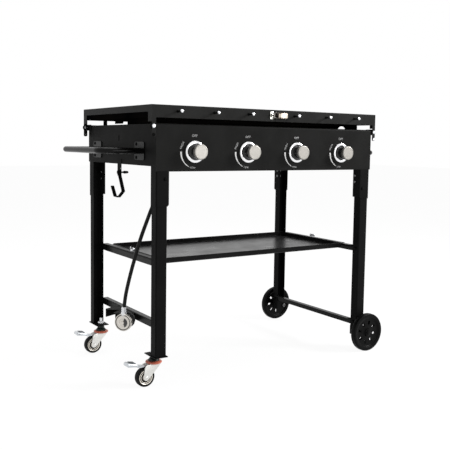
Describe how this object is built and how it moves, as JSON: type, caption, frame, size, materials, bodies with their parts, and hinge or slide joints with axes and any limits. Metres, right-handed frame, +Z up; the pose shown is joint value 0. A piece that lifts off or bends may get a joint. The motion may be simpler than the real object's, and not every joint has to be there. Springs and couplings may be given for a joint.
{
  "type": "outdoor gas griddle station",
  "caption": "Outdoor gas griddle on a wheeled stand, with folding top shelves, control knobs, side handles, lower tray and hose with regulator.",
  "frame": {"origin": "on the floor below the middle of the burner box, the middle of the footprint", "axes": "+Z up, +X to the right for a person at the control knobs, -Y the way the control knobs face"},
  "size_m": [1.22, 0.641, 0.9215],
  "materials": {
    "black_sheet": "semi-gloss black powder coat",
    "black_frame": "satin black powder coat",
    "tray_grey": "semi-gloss dark grey coat",
    "griddle_steel": "dark seasoned steel",
    "bright_steel": "brushed",
    "zinc": "bright zinc plate",
    "chrome": "polished",
    "latch_brass": "yellow zinc plate",
    "brass": "satin",
    "knob_metal": "spun satin face, black skirt",
    "wheel_black": "matte",
    "caster_rubber": "matte black tread",
    "caster_zinc": "white zinc plate",
    "hose_black": "satin black rubber",
    "regulator_grey": "cast, satin",
    "coupling_black": "satin",
    "cup_metal": "satin"
  },
  "bodies": {
    "stand": {"front_panel": "black_sheet", "side_panel_left": "black_sheet", "side_panel_right": "black_sheet", "back_panel": "black_sheet", "tray_bar_left": "black_frame", "tray_bar_right": "black_frame", "cross_bar_left": "black_frame", "cross_bar_right": "black_frame", "tray_shelf": "tray_grey", "wing_nuts": "zinc", "tank_rest": "black_frame", "shelf_brackets": "black_frame", "griddle_plate": "griddle_steel", "gas_manifold": "bright_steel", "gas_valves": "brass", "knob_bezels": "chrome", "burners": "bright_steel", "burner_rests": "zinc", "handle_left": "black_frame", "handle_right": "black_frame", "caster_stems": "black_frame", "frame_bolts": "zinc", "gas_hose": "hose_black", "regulator": "regulator_grey", "leg_front_left": "black_frame", "leg_sleeve_front_left": "black_frame", "leg_front_right": "black_frame", "leg_sleeve_front_right": "black_frame", "leg_back_left": "black_frame", "leg_sleeve_back_left": "black_frame", "leg_back_right": "black_frame", "leg_sleeve_back_right": "black_frame"},
    "left_shelf": {"shelf_left": "black_sheet", "shelf_studs_left": "bright_steel", "latch_keeper": "latch_brass"},
    "right_shelf": {"shelf_right": "black_sheet", "shelf_studs_right": "bright_steel", "latch_base": "latch_brass"},
    "latch_lever": {"latch_lever": "latch_brass"},
    "latch_hook": {"latch_hook": "latch_brass"},
    "tank_hook": {"tank_hook": "black_frame"},
    "hook_screw": {"hook_screw": "black_frame"},
    "coupling": {"hose_coupling": "coupling_black"},
    "grease_cup": {"grease_cup": "cup_metal"},
    "stem_1": {"valve_stem_1": "brass"},
    "knob_1": {"knob_1": "knob_metal"},
    "stem_2": {"valve_stem_2": "brass"},
    "knob_2": {"knob_2": "knob_metal"},
    "stem_3": {"valve_stem_3": "brass"},
    "knob_3": {"knob_3": "knob_metal"},
    "stem_4": {"valve_stem_4": "brass"},
    "knob_4": {"knob_4": "knob_metal"},
    "caster_fork_front": {"caster_fork_front": "caster_zinc"},
    "caster_wheel_front": {"caster_wheel_front": "caster_rubber"},
    "brake_front": {"brake_pedal_front": "caster_zinc"},
    "wheel_front": {"wheel_front": "wheel_black"},
    "caster_fork_back": {"caster_fork_back": "caster_zinc"},
    "caster_wheel_back": {"caster_wheel_back": "caster_rubber"},
    "brake_back": {"brake_pedal_back": "caster_zinc"},
    "wheel_back": {"wheel_back": "wheel_black"}
  },
  "joints": [
    {"name": "shelf_left_fold", "type": "hinge", "parent": "stand", "child": "left_shelf", "pos_m": [-0.476, 0, 0.854], "axis": [0, -1, 0], "range_deg": [0, 177]},
    {"name": "shelf_right_fold", "type": "hinge", "parent": "stand", "child": "right_shelf", "pos_m": [0.476, 0, 0.854], "axis": [0, 1, 0], "range_deg": [0, 177]},
    {"name": "latch_lever_turn", "type": "hinge", "parent": "right_shelf", "child": "latch_lever", "pos_m": [0.014, -0.2835, 0.902], "axis": [0, 0, -1], "range_deg": [0, 100]},
    {"name": "latch_hook_turn", "type": "hinge", "parent": "latch_lever", "child": "latch_hook", "pos_m": [0.02, -0.2855, 0.902], "axis": [0, 0, 1], "range_deg": [0, 120]},
    {"name": "knob_1_push", "type": "slide", "parent": "stand", "child": "stem_1", "axis": [0, 1, 0], "range_m": [0, 0.004], "stiffness_N_per_m": 900},
    {"name": "knob_1_turn", "type": "hinge", "parent": "stem_1", "child": "knob_1", "pos_m": [-0.325, -0.3, 0.774], "axis": [0, 1, 0], "range_deg": [-200, 0]},
    {"name": "knob_2_push", "type": "slide", "parent": "stand", "child": "stem_2", "axis": [0, 1, 0], "range_m": [0, 0.004], "stiffness_N_per_m": 900},
    {"name": "knob_2_turn", "type": "hinge", "parent": "stem_2", "child": "knob_2", "pos_m": [-0.1135, -0.3, 0.774], "axis": [0, 1, 0], "range_deg": [-200, 0]},
    {"name": "knob_3_push", "type": "slide", "parent": "stand", "child": "stem_3", "axis": [0, 1, 0], "range_m": [0, 0.004], "stiffness_N_per_m": 900},
    {"name": "knob_3_turn", "type": "hinge", "parent": "stem_3", "child": "knob_3", "pos_m": [0.098, -0.3, 0.774], "axis": [0, 1, 0], "range_deg": [-200, 0]},
    {"name": "knob_4_push", "type": "slide", "parent": "stand", "child": "stem_4", "axis": [0, 1, 0], "range_m": [0, 0.004], "stiffness_N_per_m": 900},
    {"name": "knob_4_turn", "type": "hinge", "parent": "stem_4", "child": "knob_4", "pos_m": [0.3095, -0.3, 0.774], "axis": [0, 1, 0], "range_deg": [-200, 0]},
    {"name": "caster_front_swivel", "type": "hinge", "parent": "stand", "child": "caster_fork_front", "pos_m": [-0.4405, -0.2195, 0.08], "axis": [0, 0, 1], "continuous": true},
    {"name": "caster_front_roll", "type": "hinge", "parent": "caster_fork_front", "child": "caster_wheel_front", "pos_m": [-0.4735, -0.2195, 0.0326], "axis": [0, 1, 0], "continuous": true},
    {"name": "brake_front_press", "type": "hinge", "parent": "caster_fork_front", "child": "brake_front", "pos_m": [-0.4695, -0.2195, 0.0695], "axis": [0, -1, 0], "range_deg": [0, 10]},
    {"name": "wheel_front_roll", "type": "hinge", "parent": "stand", "child": "wheel_front", "pos_m": [0.455, -0.295, 0.0736], "axis": [0, 1, 0], "continuous": true},
    {"name": "caster_back_swivel", "type": "hinge", "parent": "stand", "child": "caster_fork_back", "pos_m": [-0.4405, 0.2195, 0.08], "axis": [0, 0, 1], "continuous": true},
    {"name": "caster_back_roll", "type": "hinge", "parent": "caster_fork_back", "child": "caster_wheel_back", "pos_m": [-0.4735, 0.2195, 0.0326], "axis": [0, 1, 0], "continuous": true},
    {"name": "brake_back_press", "type": "hinge", "parent": "caster_fork_back", "child": "brake_back", "pos_m": [-0.4695, 0.2195, 0.0695], "axis": [0, -1, 0], "range_deg": [0, 10]},
    {"name": "wheel_back_roll", "type": "hinge", "parent": "stand", "child": "wheel_back", "pos_m": [0.455, 0.295, 0.0736], "axis": [0, 1, 0], "continuous": true},
    {"name": "tank_hook_swing", "type": "hinge", "parent": "stand", "child": "tank_hook", "pos_m": [-0.468, -0.003, 0.697], "axis": [1, 0, 0], "range_deg": [-40, 35]},
    {"name": "hook_screw_turn", "type": "hinge", "parent": "stand", "child": "hook_screw", "pos_m": [-0.468, -0.003, 0.697], "axis": [1, 0, 0], "continuous": true},
    {"name": "hose_coupling_turn", "type": "hinge", "parent": "stand", "child": "coupling", "pos_m": [-0.507, -0.129, 0.2], "axis": [0.722, 0.6919, 0], "continuous": true},
    {"name": "grease_cup_slide", "type": "slide", "parent": "stand", "child": "grease_cup", "axis": [0, 1, 0], "range_m": [0, 0.12]}
  ],
  "couplings": [
    {"joint": "latch_hook_turn", "follows": "latch_lever_turn", "ratio": 1.2}
  ]
}
